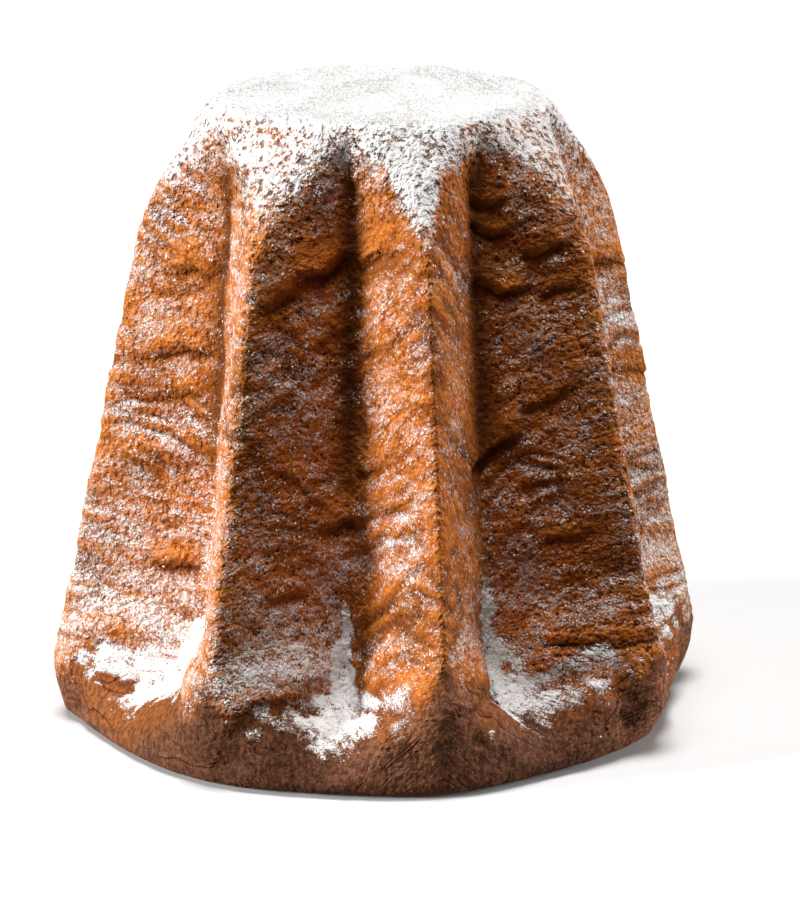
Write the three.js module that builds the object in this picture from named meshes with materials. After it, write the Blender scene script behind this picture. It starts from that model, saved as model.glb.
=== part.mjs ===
import * as THREE from "three";

// A pandoro: a tall star-shaped cake with eight ridges. Its top is a flat octagon, a sloping facet
// leads from each side of the octagon down to a ridge, and the ridges spread towards a puffed foot.
// Between the ridges the foot shows as a ledge. Sizes are in millimetres with +Z up. The middle of
// the underside is at the origin, and the first ridge faces -Y.

const HEIGHT = 221;
const RIDGES = 8;
const HALF_SECTOR = Math.PI / RIDGES;
const DEGREE = Math.PI / 180;

// The ridges, the valleys between them and the top. The valleys are filled a little near the top.
const SHOULDER_HEIGHT = 185;
const RIDGE_RADIUS = 83.6;
const RIDGE_SPREAD = 0.209;
const VALLEY_RADIUS = 58;
const VALLEY_SPREAD = 0.066;
const VALLEY_FILL = 3.8;
const VALLEY_FILL_START = 186;
const TOP_APOTHEM = 57.5;
const RIDGE_SOFTNESS = [0.06, 0.08, 0.09, 0.09, 0.07, 0.09, 0.09, 0.1];
const NOSE_SOFTNESS = 0.5;
const NOSE_TOP = 48;
const NOSE_BOTTOM = 30;
const VALLEY_SOFTNESS = 0.1;
const FACET_BLEND = 5;
const TOP_BLEND = 4;
const WALL_SLANT = 0.6;

// How far each ridge, and the valley after it, is turned (degrees) and set out (mm) from an even star.
const RIDGE_TURN = [0, 1, 1.5, 0.8, -1, 0.6, 0.1, 3.6];
const VALLEY_TURN = [0, 1, -0.8, 0.5, -0.6, 0.9, -2.1, 1.6];
const RIDGE_OUT = [0, 0.3, 0, -0.8, 0.4, -0.6, 0, 0.2];
const VALLEY_OUT = [0, 0.5, -0.8, 0.8, 0, -0.6, 3, 0];

// The foot: a puffed disc whose upper side falls outwards as a ledge and rises at each ridge. Its
// radius and the height of its roundest part are given in the valley after each ridge. A ridge stops
// spreading just above the foot, and turns under from a height of its own, by a depth of its own.
const FOOT_RADIUS = [109, 109, 106, 107, 108, 108, 111, 113];
const FOOT_CORNER = 1.5;
const FOOT_EDGE = 11;
const FOOT_MIDDLE = [8, 15, 8, 6, 9, 5, 5, 7];
const LEDGE_FALL = 0.27;
const LEDGE_HEIGHT = 24;
const LEDGE_START = 67;
const LEDGE_BLEND = 9;
const LEDGE_RISE = [26, 31, 26, 24, 24, 24, 22, 17];
const SPREAD_END = 22;
const TURN_UNDER_HEIGHT = [44, 32, 26, 28, 34, 28, 24, 36];
const TURN_UNDER_DEPTH = [50, 34, 15, 20, 26, 20, 13, 30];
const TURN_UNDER_ROUND = 0.97;
const FLOOR_BLEND = 4;

// Folds in the crust, seen on the front half. A place round the star counts 0 on the first ridge,
// 1 in the valley after it, 2 on the next ridge, up to 16. Each fold runs from one place and height
// to another, sagging in between, with a lip above it. Depth and reach are in millimetres.
const FOLDS = [
  { from: 14.05, to: 15.15, start: 162, end: 176, sag: -1, depth: 3.4, reach: 13 },
  { from: 15, to: 16, start: 175, end: 188, sag: 3.5, depth: 3, reach: 12 },
  { from: 14.08, to: 14.95, start: 112, end: 86, sag: 0, depth: 2, reach: 11 },
  { from: 14.6, to: 15.3, start: 86, end: 86, sag: 2, depth: 3, reach: 12 },
  { from: 12.1, to: 13, start: 166, end: 163, sag: 0, depth: 2.4, reach: 9 },
  { from: 12.1, to: 13, start: 134, end: 139, sag: 1, depth: 2.4, reach: 9 },
  { from: 12, to: 13, start: 121, end: 124, sag: 3, depth: 1.6, reach: 8 },
  { from: 12.3, to: 13, start: 62, end: 57, sag: 0, depth: 3, reach: 10 },
  { from: 0.85, to: 1.5, start: 192, end: 194, sag: 0, depth: 2.4, reach: 9 },
  { from: 0.8, to: 1.95, start: 183, end: 187, sag: 3, depth: 2.4, reach: 10 },
  { from: 0.85, to: 2, start: 161, end: 164, sag: 1, depth: 2.2, reach: 10 },
  { from: 1.3, to: 1.95, start: 117, end: 132, sag: 0, depth: 1.6, reach: 9 },
  { from: 0.7, to: 1.6, start: 99, end: 114, sag: 0, depth: 3.4, reach: 13 },
  { from: 1.35, to: 1.95, start: 72, end: 82, sag: 0, depth: 1.8, reach: 9 },
  { from: 3, to: 4.2, start: 163, end: 156, sag: 0, depth: 2.6, reach: 9 },
  { from: 3.4, to: 4.2, start: 125, end: 113, sag: 0, depth: 2, reach: 9 },
];
const OPPOSITE = RIDGES;
const OPPOSITE_DROP = 11;
const FOLD_FADE = 4;
const LIP = { at: 0.75, spread: 0.6, share: 0.6 };
const GROOVE = { at: -0.2, spread: 0.45, share: 1 };
const SETBACK = { at: -1.1, spread: 0.8, share: 0.3 };

// The crack that parts each ridge from the foot: its height and depth at each ridge. It runs out on
// the flanks, at that share of the way to the valley.
const CRACK_AT_RIDGE = [31, 43, 38, 38, 36, 40, 34, 28];
const CRACK_DEPTH = [1, 2.4, 1.2, 1.6, 1.2, 1.6, 0.8, 0.9];
const CRACK_REACH = 9;
const CRACK_END = 0.75;
const CRACK_FADE = 0.3;

// Broad unevenness of the flanks, and the share of all relief that is left on ridges and in valleys.
const SWELL = 0.9;
const SWELL_LENGTH = 46;
const SWELL_TURN_UP = 0.75 * Math.PI;
const SWELL_TURN_ROUND = 1.5 * Math.PI;
const RELIEF_AT_RIDGE = 0.3;
const RELIEF_AT_VALLEY = 0.5;
const RELIEF_FADE = 14;

const COLUMNS_PER_FLANK = 8;
const ROWS = 45;
const BASE_RING = 86;
const FLAT_ROW_SHARE = 0.3;
const FLAT_MARGIN = 0.5;
const FLOOR_SNAP = 0.01;
const RAY_NEAR = 1;
const RAY_FAR = 180;
const HALVINGS = 40;
const FINE_STEPS = 600;
const FIRST_STEP = 0.03;

const CRUST_COLOUR = 0xa9673c;
const CRUST_ROUGHNESS = 0.85;

function clamp01(x) {
  return Math.min(1, Math.max(0, x));
}

function smoothMin(a, b, blend) {
  const h = clamp01(0.5 + (0.5 * (b - a)) / blend);
  return b + (a - b) * h - blend * h * (1 - h);
}

function smoothMax(a, b, blend) {
  return -smoothMin(-a, -b, blend);
}

function smoothStep(x) {
  const t = clamp01(x);
  return t * t * (3 - 2 * t);
}

function bell(x, shape) {
  const d = (x - shape.at) / shape.spread;
  return shape.share * Math.exp(-d * d);
}

// The angle of every ridge and valley in turn, closing on the first ridge after a full turn.
const MARKS = [];
for (let i = 0; i < RIDGES; i++) {
  MARKS.push(2 * HALF_SECTOR * i + RIDGE_TURN[i] * DEGREE);
  MARKS.push(2 * HALF_SECTOR * (i + 0.5) + VALLEY_TURN[i] * DEGREE);
}
MARKS.push(MARKS[0] + 2 * Math.PI);

// The angle at a place round the star.
function angleAt(place) {
  const i = Math.floor(place);
  return MARKS[i] + (MARKS[i + 1] - MARKS[i]) * (place - i);
}

// A list with one value for each ridge or valley, read between its entries round the star.
function roundStar(list, turns) {
  const t = (turns + RIDGES) % RIDGES;
  const i = Math.floor(t);
  return list[i] + (list[(i + 1) % RIDGES] - list[i]) * (t - i);
}

// A corner at zero eased over a short width, with its ends kept.
function eased(t, softness) {
  const hyp = (x) => Math.hypot(x, softness) - softness;
  return hyp(t) / hyp(1);
}

// What depends only on the place: its angle, set-outs, and its share of the way from ridge to valley,
// which is eased over a short width up the ridge and over a wide one at the blunt nose of the foot.
function placeOnStar(place) {
  const plain = Math.abs(((place + 1) % 2) - 1);
  const shareFor = (softness) => 1 - eased(1 - eased(plain, softness), VALLEY_SOFTNESS);
  return {
    place,
    angle: angleAt(place),
    ridgeShare: shareFor(roundStar(RIDGE_SOFTNESS, place / 2)),
    noseShare: shareFor(NOSE_SOFTNESS),
    footRadius: roundStar(FOOT_RADIUS, (place - 1) / 2) + FOOT_CORNER * Math.cos(Math.PI * plain),
    footMiddle: roundStar(FOOT_MIDDLE, (place - 1) / 2),
    ledgeRise: roundStar(LEDGE_RISE, place / 2) * Math.cos((Math.PI / 2) * plain) ** 2,
    turnHeight: roundStar(TURN_UNDER_HEIGHT, place / 2),
    turnDepth: roundStar(TURN_UNDER_DEPTH, place / 2),
    ridgeOut: roundStar(RIDGE_OUT, place / 2),
    valleyOut: roundStar(VALLEY_OUT, (place - 1) / 2),
    crackHeight: roundStar(CRACK_AT_RIDGE, place / 2),
    crackDepth: roundStar(CRACK_DEPTH, place / 2),
  };
}

// How far the crust stands out at a fold: a lip above the line, a groove on it, set back below.
function foldRelief(fold, place, height) {
  const along = (place - fold.from) / (fold.to - fold.from);
  if (along <= 0 || along >= 1) return 0;
  const line = fold.start + (fold.end - fold.start) * along - 4 * fold.sag * along * (1 - along);
  const across = (height - line) / fold.reach;
  const ends = smoothStep(along * FOLD_FADE) * smoothStep((1 - along) * FOLD_FADE);
  return fold.depth * ends * (bell(across, LIP) - bell(across, GROOVE) - bell(across, SETBACK));
}

// The folds seen, and one opposite each of them a little lower, as the far side isn't known.
const ALL_FOLDS = FOLDS.concat(
  FOLDS.map((fold) => ({
    ...fold,
    from: (fold.from + OPPOSITE) % (2 * RIDGES),
    to: ((fold.from + OPPOSITE) % (2 * RIDGES)) + fold.to - fold.from,
    start: fold.start - OPPOSITE_DROP,
    end: fold.end - OPPOSITE_DROP,
  })),
);

// Folds, the crack and a slow swell, faded at the top, on the ridges and in the valleys.
function relief(star, share, height) {
  const low = smoothStep((HEIGHT - height) / RELIEF_FADE - 0.5);
  const offRidge = RELIEF_AT_RIDGE + (1 - RELIEF_AT_RIDGE) * smoothStep(3 * share);
  const offValley = RELIEF_AT_VALLEY + (1 - RELIEF_AT_VALLEY) * smoothStep(3 * (1 - share));
  let out = 0;
  for (const fold of ALL_FOLDS) {
    out += foldRelief(fold, star.place, height);
    out += foldRelief(fold, star.place + 2 * RIDGES, height);
  }
  const across = (height - star.crackHeight) / CRACK_REACH;
  const crack = bell(across, LIP) - bell(across, GROOVE);
  out += star.crackDepth * crack * smoothStep((CRACK_END - share) / CRACK_FADE);
  const upWave = Math.sin((2 * Math.PI * height) / SWELL_LENGTH + SWELL_TURN_UP * star.place);
  out += SWELL * upWave * Math.sin(SWELL_TURN_ROUND * star.place + height / SWELL_LENGTH);
  return out * low * offRidge * offValley;
}

// Negative inside the cake and positive outside, close to the distance in millimetres.
function field(star, radius, height) {
  const under = clamp01((star.turnHeight - height) / star.turnHeight);
  const turnUnder = star.turnDepth * (1 - Math.sqrt(1 - TURN_UNDER_ROUND * under * under));
  const drop = SHOULDER_HEIGHT - height;
  const spread = Math.min(drop, SHOULDER_HEIGHT - SPREAD_END);
  const ridge = RIDGE_RADIUS + RIDGE_SPREAD * spread + star.ridgeOut - turnUnder;
  const topShare = (height - VALLEY_FILL_START) / (HEIGHT - VALLEY_FILL_START);
  const filled = VALLEY_FILL * smoothStep(topShare);
  const valley = VALLEY_RADIUS + VALLEY_SPREAD * drop + star.valleyOut + filled;
  const blunt = smoothStep((NOSE_TOP - height) / (NOSE_TOP - NOSE_BOTTOM));
  const share = star.ridgeShare + (star.noseShare - star.ridgeShare) * blunt;
  const toRidge = Math.sin(HALF_SECTOR * (1 - share)) / ridge;
  const toValley = Math.sin(HALF_SECTOR * share) / valley;
  const flank = Math.sin(HALF_SECTOR) / (toRidge + toValley);
  const wall = WALL_SLANT * (radius - flank);

  const slope = Math.atan2(HEIGHT - SHOULDER_HEIGHT, RIDGE_RADIUS - TOP_APOTHEM);
  const outwards = radius * Math.cos(HALF_SECTOR * share) - TOP_APOTHEM;
  const facet = outwards * Math.sin(slope) + (height - HEIGHT) * Math.cos(slope);

  const ledge = LEDGE_HEIGHT - LEDGE_FALL * (radius - LEDGE_START) + star.ledgeRise;
  const beyond = radius - (star.footRadius - FOOT_EDGE);
  const above = Math.max(height - ledge, star.footMiddle - FOOT_EDGE - height) + FOOT_EDGE;
  const foot =
    Math.min(Math.max(beyond, above), 0) +
    Math.hypot(Math.max(beyond, 0), Math.max(above, 0)) -
    FOOT_EDGE;

  const sides = smoothMax(wall, facet, FACET_BLEND) - relief(star, share, height);
  const cake = smoothMax(sides, height - HEIGHT, TOP_BLEND);
  return smoothMax(smoothMin(cake, foot, LEDGE_BLEND), -height, FLOOR_BLEND);
}

// Rays leave the axis to meet the crust: they fan out over the top, climb a little along the walls so
// that they meet the ledge too, and fan out again under the foot. A step of 0 is the top's middle.
const RAYS = [
  { step: 0, from: 150, climb: 90 },
  { step: 0.35, from: 150, climb: 8 },
  { step: 0.85, from: 12, climb: 8 },
  { step: 0.9, from: 12, climb: -2 },
  { step: 1, from: 12, climb: -Math.atan2(12, BASE_RING) / DEGREE },
];

function rayAt(step) {
  let i = 0;
  while (i < RAYS.length - 2 && step > RAYS[i + 1].step) i++;
  const share = (step - RAYS[i].step) / (RAYS[i + 1].step - RAYS[i].step);
  const mix = (a, b) => a + (b - a) * share;
  return {
    from: mix(RAYS[i].from, RAYS[i + 1].from),
    climb: mix(RAYS[i].climb, RAYS[i + 1].climb) * DEGREE,
  };
}

// The point where a ray leaves the crust, found by halving.
function crustPoint(star, step) {
  const ray = rayAt(step);
  let near = RAY_NEAR;
  let far = RAY_FAR;
  for (let i = 0; i < HALVINGS; i++) {
    const middle = (near + far) / 2;
    const inside = field(star, middle * Math.cos(ray.climb), ray.from + middle * Math.sin(ray.climb)) < 0;
    if (inside) near = middle;
    else far = middle;
  }
  const radius = near * Math.cos(ray.climb);
  const height = ray.from + near * Math.sin(ray.climb);
  return [
    radius * Math.sin(star.angle),
    -radius * Math.cos(star.angle),
    Math.abs(height) < FLOOR_SNAP ? 0 : height,
  ];
}

// Steps that set the rows evenly along the crust, measured on a ridge, a flank and a valley, with
// fewer rows on the flat top and underside.
function evenSteps(count) {
  const lengths = [0];
  const lines = [placeOnStar(0), placeOnStar(0.5), placeOnStar(1)];
  const stepOf = (k) => FIRST_STEP + ((1 - FIRST_STEP) * k) / FINE_STEPS;
  let last = lines.map((star) => crustPoint(star, stepOf(0)));
  for (let k = 1; k <= FINE_STEPS; k++) {
    const next = lines.map((star) => crustPoint(star, stepOf(k)));
    let length = 0;
    next.forEach((point, i) => {
      const flat = point[2] > HEIGHT - FLAT_MARGIN || point[2] < FLAT_MARGIN;
      const moved = Math.hypot(...point.map((value, axis) => value - last[i][axis]));
      length += flat ? FLAT_ROW_SHARE * moved : moved;
    });
    lengths.push(lengths[k - 1] + length);
    last = next;
  }
  const steps = [];
  let k = 0;
  for (let row = 0; row < count; row++) {
    const wanted = (lengths[FINE_STEPS] * row) / (count - 1);
    while (k < FINE_STEPS - 1 && lengths[k + 1] < wanted) k++;
    steps.push(stepOf(k + (wanted - lengths[k]) / (lengths[k + 1] - lengths[k])));
  }
  return steps;
}

// The whole crust: a fan over the top, rows down to the base ring, and a flat fan under the foot.
function makeCrust() {
  const columns = 2 * RIDGES * COLUMNS_PER_FLANK;
  const steps = evenSteps(ROWS);
  const positions = [0, 0, HEIGHT];
  const stars = [];
  for (let j = 0; j < columns; j++) stars.push(placeOnStar(j / COLUMNS_PER_FLANK));
  for (const step of steps) {
    for (const star of stars) positions.push(...crustPoint(star, step));
  }
  const base = positions.length / 3;
  positions.push(0, 0, 0);
  const vertex = (row, j) => 1 + row * columns + (j % columns);
  const triangles = [];
  for (let j = 0; j < columns; j++) {
    triangles.push(0, vertex(0, j), vertex(0, j + 1));
    for (let row = 0; row < ROWS - 1; row++) {
      const a = vertex(row, j);
      const b = vertex(row + 1, j);
      const c = vertex(row + 1, j + 1);
      const d = vertex(row, j + 1);
      triangles.push(a, b, c, a, c, d);
    }
    triangles.push(base, vertex(ROWS - 1, j + 1), vertex(ROWS - 1, j));
  }
  const geometry = new THREE.BufferGeometry();
  geometry.setAttribute("position", new THREE.Float32BufferAttribute(positions, 3));
  geometry.setIndex(triangles);
  geometry.computeVertexNormals();
  return geometry;
}

const crust = new THREE.MeshStandardMaterial({
  color: CRUST_COLOUR,
  roughness: CRUST_ROUGHNESS,
  metalness: 0,
});
const pandoro = new THREE.Mesh(makeCrust(), crust);
pandoro.name = "pandoro";

const part = new THREE.Group();
part.name = "part";
part.add(pandoro);
export default part;
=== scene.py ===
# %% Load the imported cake
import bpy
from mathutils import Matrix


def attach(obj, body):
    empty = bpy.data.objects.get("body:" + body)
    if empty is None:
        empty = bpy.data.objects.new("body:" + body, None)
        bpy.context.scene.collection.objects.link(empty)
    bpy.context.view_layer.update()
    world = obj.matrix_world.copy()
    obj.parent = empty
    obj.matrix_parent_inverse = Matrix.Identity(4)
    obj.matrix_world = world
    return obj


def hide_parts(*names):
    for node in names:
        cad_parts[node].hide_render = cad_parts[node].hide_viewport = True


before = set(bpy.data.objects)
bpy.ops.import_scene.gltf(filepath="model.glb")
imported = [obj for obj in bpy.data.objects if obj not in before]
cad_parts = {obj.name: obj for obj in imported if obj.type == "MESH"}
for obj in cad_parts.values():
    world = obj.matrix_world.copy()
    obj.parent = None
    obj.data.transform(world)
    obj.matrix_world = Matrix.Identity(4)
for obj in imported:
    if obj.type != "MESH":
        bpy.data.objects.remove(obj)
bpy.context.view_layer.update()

# %% [markdown]
# # A tall star-shaped cake dusted with icing sugar
# The cake is one piece: a baked crust with eight ridges, a puffed foot and a dusting of sugar.
# The solid gives its form. This lesson works the same form out again as a fine grid, adds the
# wrinkles of the crust, and then lays the sugar on it. Lengths are in millimetres until a mesh is
# made, because the cake was measured in millimetres, and Blender counts in metres.

# %% Tools and units
import bpy
import numpy as np
from mathutils import Vector

MM = 0.001
print("numpy", np.__version__)

# %% [markdown]
# ## The star
# The tin has eight ridges with valleys between them. A place round the star is a number: 0 on the
# first ridge, 1 in the valley after it, 2 on the next ridge, up to 16. A real cake leaves its tin a
# little crooked, so each ridge and valley is turned and set out by its own small amount.

# %% Sizes of the star
HEIGHT = 221.0
RIDGES = 8
PLACES = 2 * RIDGES
HALF_SECTOR = np.pi / RIDGES
SHOULDER_HEIGHT = 185.0
RIDGE_RADIUS, RIDGE_SPREAD = 83.6, 0.209
VALLEY_RADIUS, VALLEY_SPREAD = 58.0, 0.066
VALLEY_FILL, VALLEY_FILL_START = 3.8, 186.0
TOP_APOTHEM = 57.5
RIDGE_SOFTNESS = [0.06, 0.08, 0.09, 0.09, 0.07, 0.09, 0.09, 0.1]
NOSE_SOFTNESS, VALLEY_SOFTNESS = 0.5, 0.1
NOSE_TOP, NOSE_BOTTOM = 48.0, 30.0
FACET_BLEND, TOP_BLEND = 5.0, 4.0
RIDGE_TURN = [0, 1, 1.5, 0.8, -1, 0.6, 0.1, 3.6]
VALLEY_TURN = [0, 1, -0.8, 0.5, -0.6, 0.9, -2.1, 1.6]
RIDGE_OUT = [0, 0.3, 0, -0.8, 0.4, -0.6, 0, 0.2]
VALLEY_OUT = [0, 0.5, -0.8, 0.8, 0, -0.6, 3, 0]
print("ridges:", RIDGES, "height:", HEIGHT)

# %% Curves that the shapes are made of
def clamp01(x):
    """x held between 0 and 1."""
    return np.clip(x, 0.0, 1.0)


def mix(a, b, share):
    """The value a share of the way from a to b."""
    return a + (b - a) * share


def smooth_step(x):
    """0 below 0 and 1 above 1, with the cubic 3 t t - 2 t t t between."""
    t = clamp01(x)
    return t * t * (3 - 2 * t)


def smooth_min(a, b, blend):
    """The smaller of two distances, rounded where they are within blend of each other."""
    h = clamp01(0.5 + 0.5 * (b - a) / blend)
    return b + (a - b) * h - blend * h * (1 - h)


def smooth_max(a, b, blend):
    """The larger of two distances, rounded in the same way."""
    return -smooth_min(-a, -b, blend)


def bell(x, at, spread):
    """A bump of height 1 at x = at, exp(-d d) with d counted in spreads."""
    return np.exp(-(((x - at) / spread) ** 2))


def eased(t, softness):
    """A straight climb from 0 to 1 whose corner at 0 is rounded: a hyperbola scaled to end at 1."""
    return (np.hypot(t, softness) - softness) / (np.hypot(1.0, softness) - softness)


print("a quarter of the way up a smooth step:", smooth_step(0.25))


# %% Places round the star
angles = np.arange(PLACES + 1) * HALF_SECTOR
angles[0:PLACES:2] += np.radians(RIDGE_TURN)
angles[1:PLACES:2] += np.radians(VALLEY_TURN)
angles[PLACES] = angles[0] + 2 * np.pi


def round_star(values, turns):
    """One value for each ridge or valley, read in straight lines between them all the way round."""
    return np.interp(turns % RIDGES, np.arange(RIDGES + 1), list(values) + [values[0]])


def share_to_valley(place, softness):
    """0 on a ridge and 1 in a valley, with the ridge rounded by softness and the valley by its own."""
    plain = np.abs((place + 1) % 2 - 1)
    return 1 - eased(1 - eased(plain, softness), VALLEY_SOFTNESS)


print("angle of each ridge:", np.degrees(angles[0:PLACES:2]).round(1))

# %% [markdown]
# ## The foot
# While baking, the dough rises over the rim of the tin, so the cake stands on a puffed foot that is
# wider than the valleys. Its upper side falls outwards as a ledge, where sugar gathers. A disc with a
# rounded rim gives it, joined to the star with a soft blend.

# %% Sizes of the foot
FOOT_RADIUS = [109, 109, 106, 107, 108, 108, 111, 113]
FOOT_CORNER, FOOT_EDGE = 1.5, 11.0
FOOT_MIDDLE = [8, 15, 8, 6, 9, 5, 5, 7]
LEDGE_FALL, LEDGE_HEIGHT, LEDGE_START, LEDGE_BLEND = 0.27, 24.0, 67.0, 9.0
LEDGE_RISE = [26, 31, 26, 24, 24, 24, 22, 17]
LEDGE_RISE_POWER = 2.0
SPREAD_END = 22.0
TURN_UNDER_HEIGHT = [44, 32, 26, 28, 34, 28, 24, 36]
TURN_UNDER_DEPTH = [50, 34, 15, 20, 26, 20, 13, 30]
TURN_UNDER_ROUND = 0.97
FLOOR_BLEND = 4.0
print("foot across, about:", 2 * np.mean(FOOT_RADIUS))

# %% [markdown]
# ## Folds of the crust
# The soft crust sags as it cools and lies in folds across the flanks. A fold is a line from one place
# and height to another. Above the line the crust stands out as a lip, on it there is a groove, and
# below it the crust is set back. The far side gets the same folds a little lower.

# %% The folds
FOLDS = np.array([
    # from, to, start, end, sag, depth, reach
    (14.05, 14.45, 162, 165, 0, 2.5, 9),
    (14.28, 15.12, 168, 177, 0, 4.0, 12),
    (14.5, 15.1, 145, 153, 0, 1.2, 7),
    (14.08, 14.9, 112, 86, 0, 1.0, 8),
    (14.6, 15.25, 85, 84, 1, 2.0, 9),
    (14.25, 14.62, 61, 61, 0, 1.2, 6),
    (14.95, 15.9, 174, 187, 3.5, 1.5, 17),
    (15.5, 16.1, 171, 181, 0, 1.0, 6),
    (15.0, 16.0, 138, 163, 3, 1.0, 10),
    (14.95, 15.8, 96, 119, 2, 1.1, 10),
    (15.0, 16.0, 82, 106, 2, 0.9, 9),
    (15.1, 15.9, 48, 66, 1, 1.0, 8),
    (0.85, 1.4, 192, 193, 0, 2.8, 7),
    (0.8, 1.5, 185, 181, 0, 3.2, 8),
    (1.45, 1.9, 174, 178, 0, 2.2, 7),
    (0.85, 1.62, 165, 161, 0, 2.8, 8),
    (1.55, 1.95, 161, 164, 0, 1.8, 7),
    (1.3, 1.9, 117, 132, 0, 1.4, 7),
    (0.65, 1.5, 99, 112, 0, 4.0, 12),
    (1.4, 1.9, 72, 82, 0, 1.4, 7),
    (12.2, 13.0, 165, 163, 0, 2.4, 8),
    (12.1, 12.9, 158, 158, 1, 1.0, 6),
    (12.1, 13.0, 134, 139, 1, 2.2, 8),
    (12.05, 12.9, 121, 124, 3, 1.5, 7),
    (12.1, 12.6, 103, 88, 0, 1.2, 7),
    (12.35, 12.9, 62, 57, 0, 2.4, 8),
    (3.0, 4.2, 163, 156, 0, 2.2, 8),
    (3.4, 4.2, 125, 113, 0, 1.6, 8),
    (3.5, 4.1, 43, 40, 0, 1.2, 6),
])
OPPOSITE_DROP = 11.0
far_side = FOLDS + np.array([RIDGES, RIDGES, -OPPOSITE_DROP, -OPPOSITE_DROP, 0, 0, 0])
all_folds = np.concatenate([FOLDS, far_side])
LIP_SHARE, LIP_FADE = 0.55, 0.8
HOLLOW_FADE, STEP_WIDTH, FOLD_FADE = 0.4, 0.24, 3.0
WAVER, WAVER_TURNS = [1.2, 0.35], [12.0, 31.0]


def fold_parts(fold, place, height):
    """Distance above the fold's line in reaches, and how much of the fold is there, fading at its ends."""
    start_place, end_place, start, end, sag, depth, reach = fold
    along = ((place - start_place) % PLACES) / (end_place - start_place)
    line = start + (end - start) * along - 4 * sag * along * (1 - along)
    for size, turns in zip(WAVER, WAVER_TURNS):
        line = line + size * np.sin(turns * place + start)
    there = smooth_step(FOLD_FADE * along) * smooth_step(FOLD_FADE * (1 - along))
    return (height - line) / reach, depth * there


def fold_profile(across):
    """A lip that swells down to the line, a sharp step at it, and a hollow that fills slowly below."""
    lip = LIP_SHARE * np.exp(-np.abs(across) / LIP_FADE)
    hollow = np.exp(-np.abs(across) / HOLLOW_FADE)
    return mix(-hollow, lip, smooth_step(0.5 + across / STEP_WIDTH))


def fold_relief(folds, place, height):
    """The sum over the folds of their depth times the profile across each line."""
    out = np.zeros(np.broadcast(place, height).shape)
    for fold in folds:
        across, depth = fold_parts(fold, place, height)
        out += depth * fold_profile(across)
    return out


print("folds:", len(all_folds))

# %% [markdown]
# ## Cracks and swell
# Where a ridge meets the foot the dough tore as it rose, so each ridge has a short crack there, with the
# profile of a fold. Between the folds the flanks swell slowly in and out, which two sines give.

# %% The cracks over the foot, and the swell of the flanks
CRACK_AT_RIDGE = [31, 43, 38, 38, 36, 40, 34, 28]
CRACK_DEPTH = [1.0, 2.4, 1.2, 1.6, 1.2, 1.6, 0.8, 0.9]
CRACK_REACH, CRACK_END, CRACK_FADE = 9.0, 0.75, 0.3
SWELL, SWELL_LENGTH = 0.9, 46.0
UP_WAVE_TURN, ROUND_WAVE_TURN = 0.75 * np.pi, 1.5 * np.pi
RELIEF_AT_RIDGE, RELIEF_AT_VALLEY, RELIEF_CLIMB, RELIEF_FADE = 0.3, 0.5, 3.0, 14.0


def crack_parts(place, share, height):
    """Distance above the crack of the nearest ridge in reaches, and its depth, fading along the flanks."""
    across = (height - round_star(CRACK_AT_RIDGE, place / 2)) / CRACK_REACH
    return across, round_star(CRACK_DEPTH, place / 2) * smooth_step((CRACK_END - share) / CRACK_FADE)


def broad_relief(place, share, height):
    """Folds, the crack and a slow swell of two sines, faded at the top, on ridges and in valleys."""
    low = smooth_step((HEIGHT - height) / RELIEF_FADE - 0.5)
    off_ridge = mix(RELIEF_AT_RIDGE, 1, smooth_step(RELIEF_CLIMB * share))
    off_valley = mix(RELIEF_AT_VALLEY, 1, smooth_step(RELIEF_CLIMB * (1 - share)))
    crack, crack_depth = crack_parts(place, share, height)
    up_wave = np.sin(2 * np.pi * height / SWELL_LENGTH + UP_WAVE_TURN * place)
    round_wave = np.sin(ROUND_WAVE_TURN * place + height / SWELL_LENGTH)
    creases = fold_relief(all_folds, place, height) + crack_depth * fold_profile(crack)
    return (creases + SWELL * up_wave * round_wave) * low * off_ridge * off_valley


print("swell of", SWELL, "mm over", SWELL_LENGTH, "mm")

# %% [markdown]
# ## The form as a field
# A field is a number at every point: negative inside the cake, zero on its crust, positive outside.
# Walls, facets, top and foot are each a simple field, and soft minimum and maximum join them with
# rounded edges, as dough does. A mesh with bevels could do it too, but not where a ledge meets a star.

# %% The field of the cake
WALL_SLANT = 0.6


def wall_and_facet(place, radius, height):
    """Distances to the walls and to the slanting facets over the ridges, and the share to the valley."""
    turn_height = round_star(TURN_UNDER_HEIGHT, place / 2)
    under = clamp01((turn_height - height) / turn_height)
    turn_under = round_star(TURN_UNDER_DEPTH, place / 2)
    turn_under = turn_under * (1 - np.sqrt(1 - TURN_UNDER_ROUND * under**2))
    drop = SHOULDER_HEIGHT - height
    spread = np.minimum(drop, SHOULDER_HEIGHT - SPREAD_END)
    ridge = RIDGE_RADIUS + RIDGE_SPREAD * spread + round_star(RIDGE_OUT, place / 2) - turn_under
    filled = VALLEY_FILL * smooth_step((height - VALLEY_FILL_START) / (HEIGHT - VALLEY_FILL_START))
    valley = VALLEY_RADIUS + VALLEY_SPREAD * drop + round_star(VALLEY_OUT, (place - 1) / 2) + filled
    blunt = smooth_step((NOSE_TOP - height) / (NOSE_TOP - NOSE_BOTTOM))
    sharp_share = share_to_valley(place, round_star(RIDGE_SOFTNESS, place / 2))
    share = mix(sharp_share, share_to_valley(place, NOSE_SOFTNESS), blunt)
    to_ridge = np.sin(HALF_SECTOR * (1 - share)) / ridge
    to_valley = np.sin(HALF_SECTOR * share) / valley
    wall = WALL_SLANT * (radius - np.sin(HALF_SECTOR) / (to_ridge + to_valley))
    slope = np.arctan2(HEIGHT - SHOULDER_HEIGHT, RIDGE_RADIUS - TOP_APOTHEM)
    outwards = radius * np.cos(HALF_SECTOR * share) - TOP_APOTHEM
    facet = outwards * np.sin(slope) + (height - HEIGHT) * np.cos(slope)
    return wall, facet, share


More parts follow.
